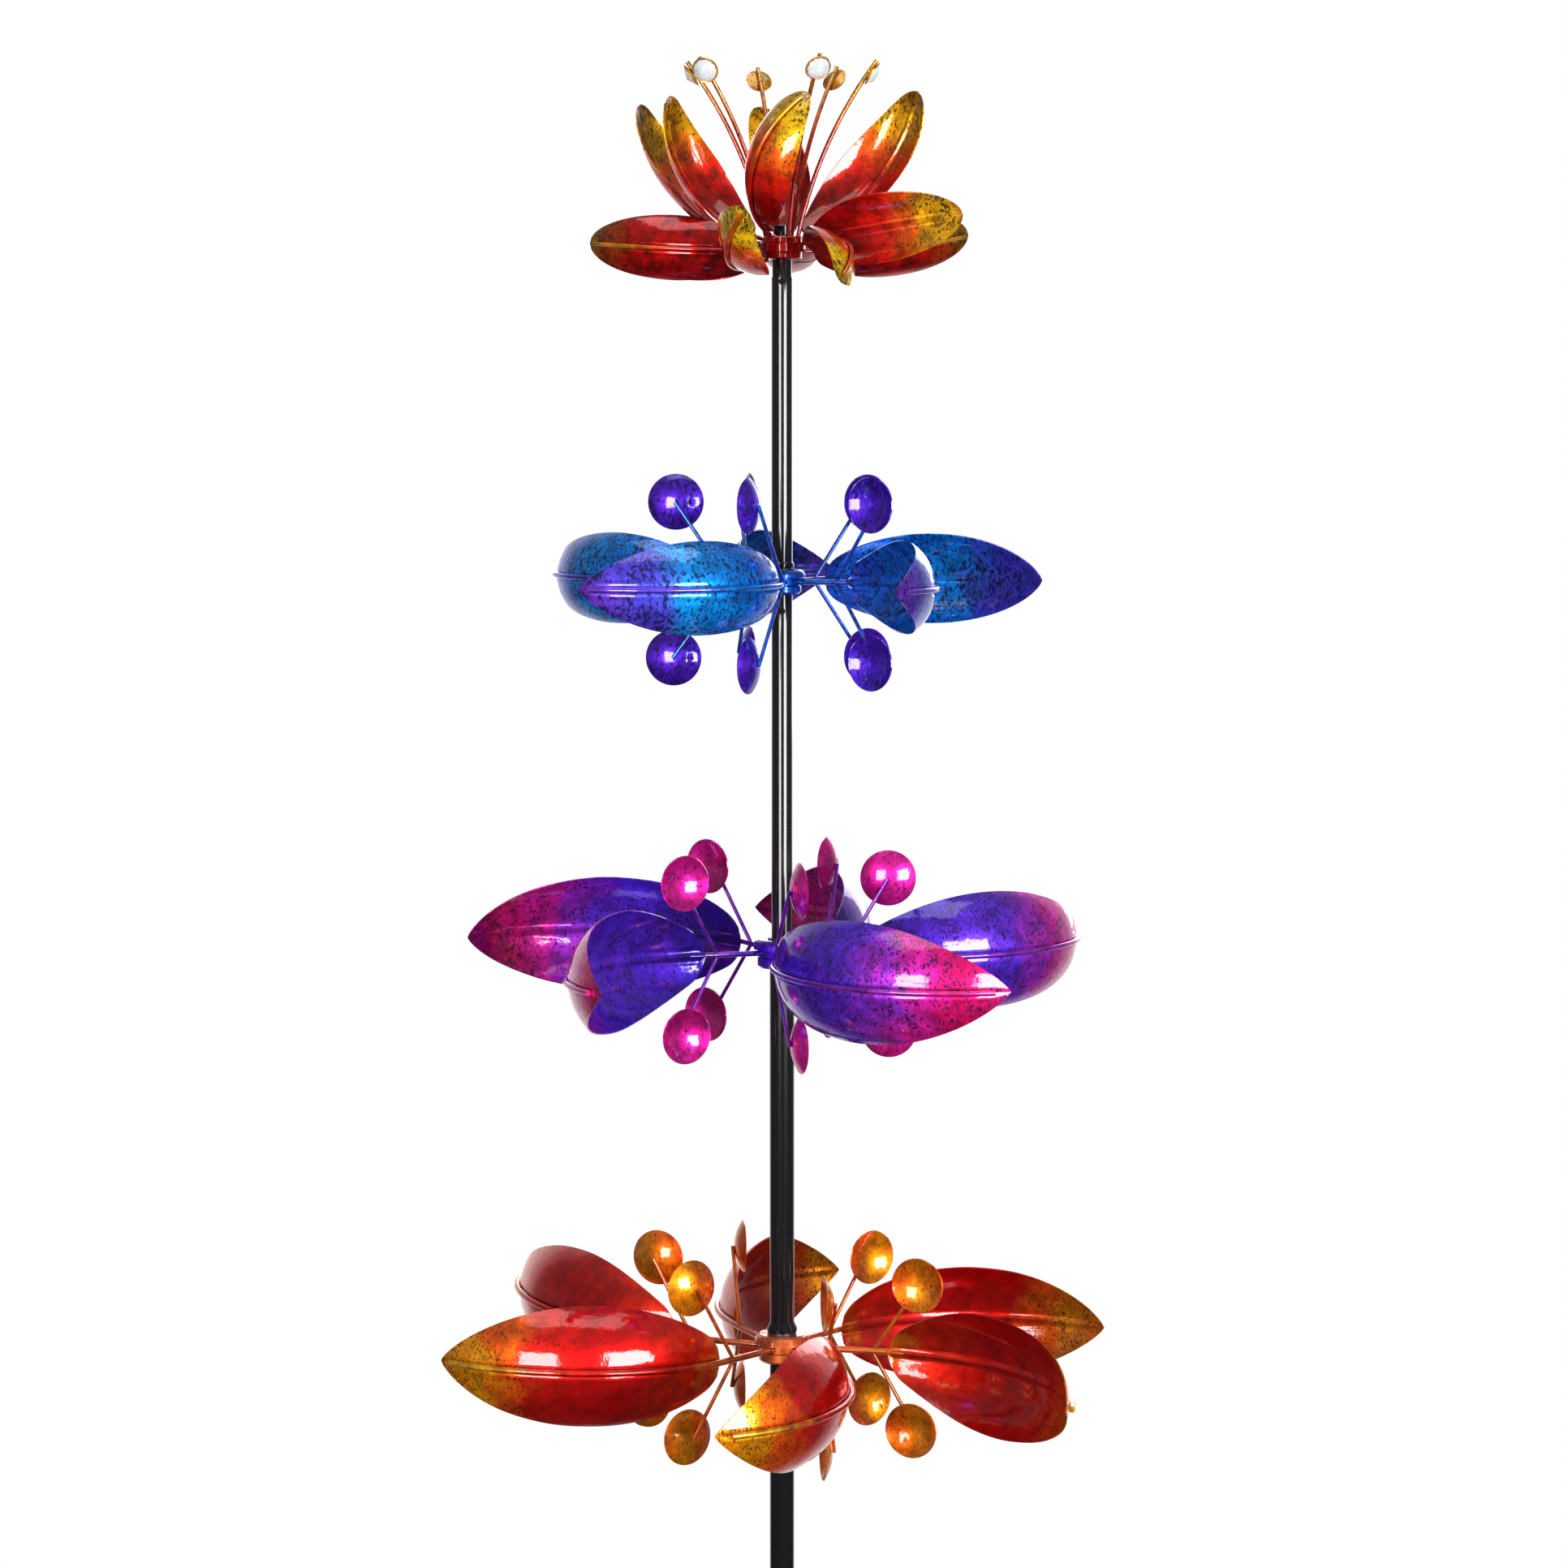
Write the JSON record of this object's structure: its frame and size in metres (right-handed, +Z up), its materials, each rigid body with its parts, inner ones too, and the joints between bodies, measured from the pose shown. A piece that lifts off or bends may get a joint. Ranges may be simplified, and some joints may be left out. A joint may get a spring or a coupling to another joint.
{
  "type": "wind spinner",
  "caption": "Tall garden wind spinner: black sectional stake pole with cupped-petal rotors in blue, violet and red tiers and a lily flower head with crystal stamens",
  "frame": {"origin": "on the pole axis at ground level, where the ground spike leaves its boss", "axes": "+Z up the pole, +X to the viewer's right, -Y towards the viewer"},
  "size_m": [0.6143, 0.6444, 2.3551],
  "materials": {
    "black_paint": "gloss black powder coat",
    "screw_black": "gloss black",
    "black_nylon": "satin moulded nylon",
    "upper_metal": "glossy blue to violet translucent paint",
    "upper_disc_paint": "glossy violet metallic with dark speckle",
    "upper_petal_paint": "glossy azure metallic, violet at the tips, dark speckle",
    "middle_metal": "glossy violet translucent paint",
    "middle_disc_paint": "glossy pink metallic with dark speckle",
    "middle_petal_paint": "glossy indigo metallic, magenta at the tips, dark speckle",
    "lower_metal": "glossy copper red translucent paint",
    "lower_disc_paint": "glossy gold metallic with dark speckle",
    "lower_petal_paint": "glossy candy red metallic, gold at the tips, dark speckle",
    "flower_metal": "glossy candy red",
    "flower_petal_paint": "glossy candy red metallic, yellow at the tips, dark speckle",
    "stamen_metal": "glossy red to gold paint with dark speckle",
    "crystal_glass": "clear faceted iridescent"
  },
  "bodies": {
    "pole": {"ground_spike": "black_paint", "stake_prongs": "black_paint", "pole_base": "black_paint", "pole_lower": "black_paint", "pole_middle": "black_paint", "pole_upper": "black_paint", "pole_top": "black_paint", "top_spindle": "black_paint", "top_cap": "black_paint", "pole_screws": "screw_black"},
    "upper_rotor": {"upper_hub": "upper_metal", "upper_bush": "black_nylon", "upper_arms": "upper_metal", "upper_stems": "upper_metal", "upper_discs": "upper_disc_paint", "upper_petal_1": "upper_petal_paint", "upper_petal_2": "upper_petal_paint", "upper_petal_3": "upper_petal_paint", "upper_petal_4": "upper_petal_paint", "upper_petal_5": "upper_petal_paint"},
    "middle_rotor": {"middle_hub": "middle_metal", "middle_bush": "black_nylon", "middle_arms": "middle_metal", "middle_stems": "middle_metal", "middle_discs": "middle_disc_paint", "middle_petal_1": "middle_petal_paint", "middle_petal_2": "middle_petal_paint", "middle_petal_3": "middle_petal_paint", "middle_petal_4": "middle_petal_paint", "middle_petal_5": "middle_petal_paint"},
    "lower_rotor": {"lower_hub": "lower_metal", "lower_bush": "black_nylon", "lower_arms": "lower_metal", "lower_stems": "lower_metal", "lower_discs": "lower_disc_paint", "lower_petal_1": "lower_petal_paint", "lower_petal_2": "lower_petal_paint", "lower_petal_3": "lower_petal_paint", "lower_petal_4": "lower_petal_paint", "lower_petal_5": "lower_petal_paint", "lower_petal_6": "lower_petal_paint"},
    "flower": {"flower_hub": "flower_metal", "flower_bush": "black_nylon", "flower_arms": "flower_metal", "flower_up_petal_1": "flower_petal_paint", "flower_up_petal_2": "flower_petal_paint", "flower_up_petal_3": "flower_petal_paint", "flower_up_petal_4": "flower_petal_paint", "flower_up_petal_5": "flower_petal_paint", "flower_up_petal_6": "flower_petal_paint", "flower_low_petal_1": "flower_petal_paint", "flower_low_petal_2": "flower_petal_paint", "flower_low_petal_3": "flower_petal_paint", "flower_low_petal_4": "flower_petal_paint", "flower_low_petal_5": "flower_petal_paint", "flower_low_petal_6": "flower_petal_paint", "stamen_rods": "stamen_metal", "stamen_discs": "stamen_metal", "stamen_crystals": "crystal_glass"}
  },
  "joints": [
    {"name": "flower_spin", "type": "hinge", "parent": "pole", "child": "flower", "pos_m": [0, 0, 1.959], "axis": [0, 0, 1], "continuous": true},
    {"name": "upper_spin", "type": "hinge", "parent": "pole", "child": "upper_rotor", "pos_m": [0, 0, 1.657], "axis": [0, 0, 1], "continuous": true},
    {"name": "middle_spin", "type": "hinge", "parent": "pole", "child": "middle_rotor", "pos_m": [0, 0, 1.316], "axis": [0, 0, 1], "continuous": true},
    {"name": "lower_spin", "type": "hinge", "parent": "pole", "child": "lower_rotor", "pos_m": [0, 0, 0.948], "axis": [0, 0, 1], "continuous": true}
  ]
}
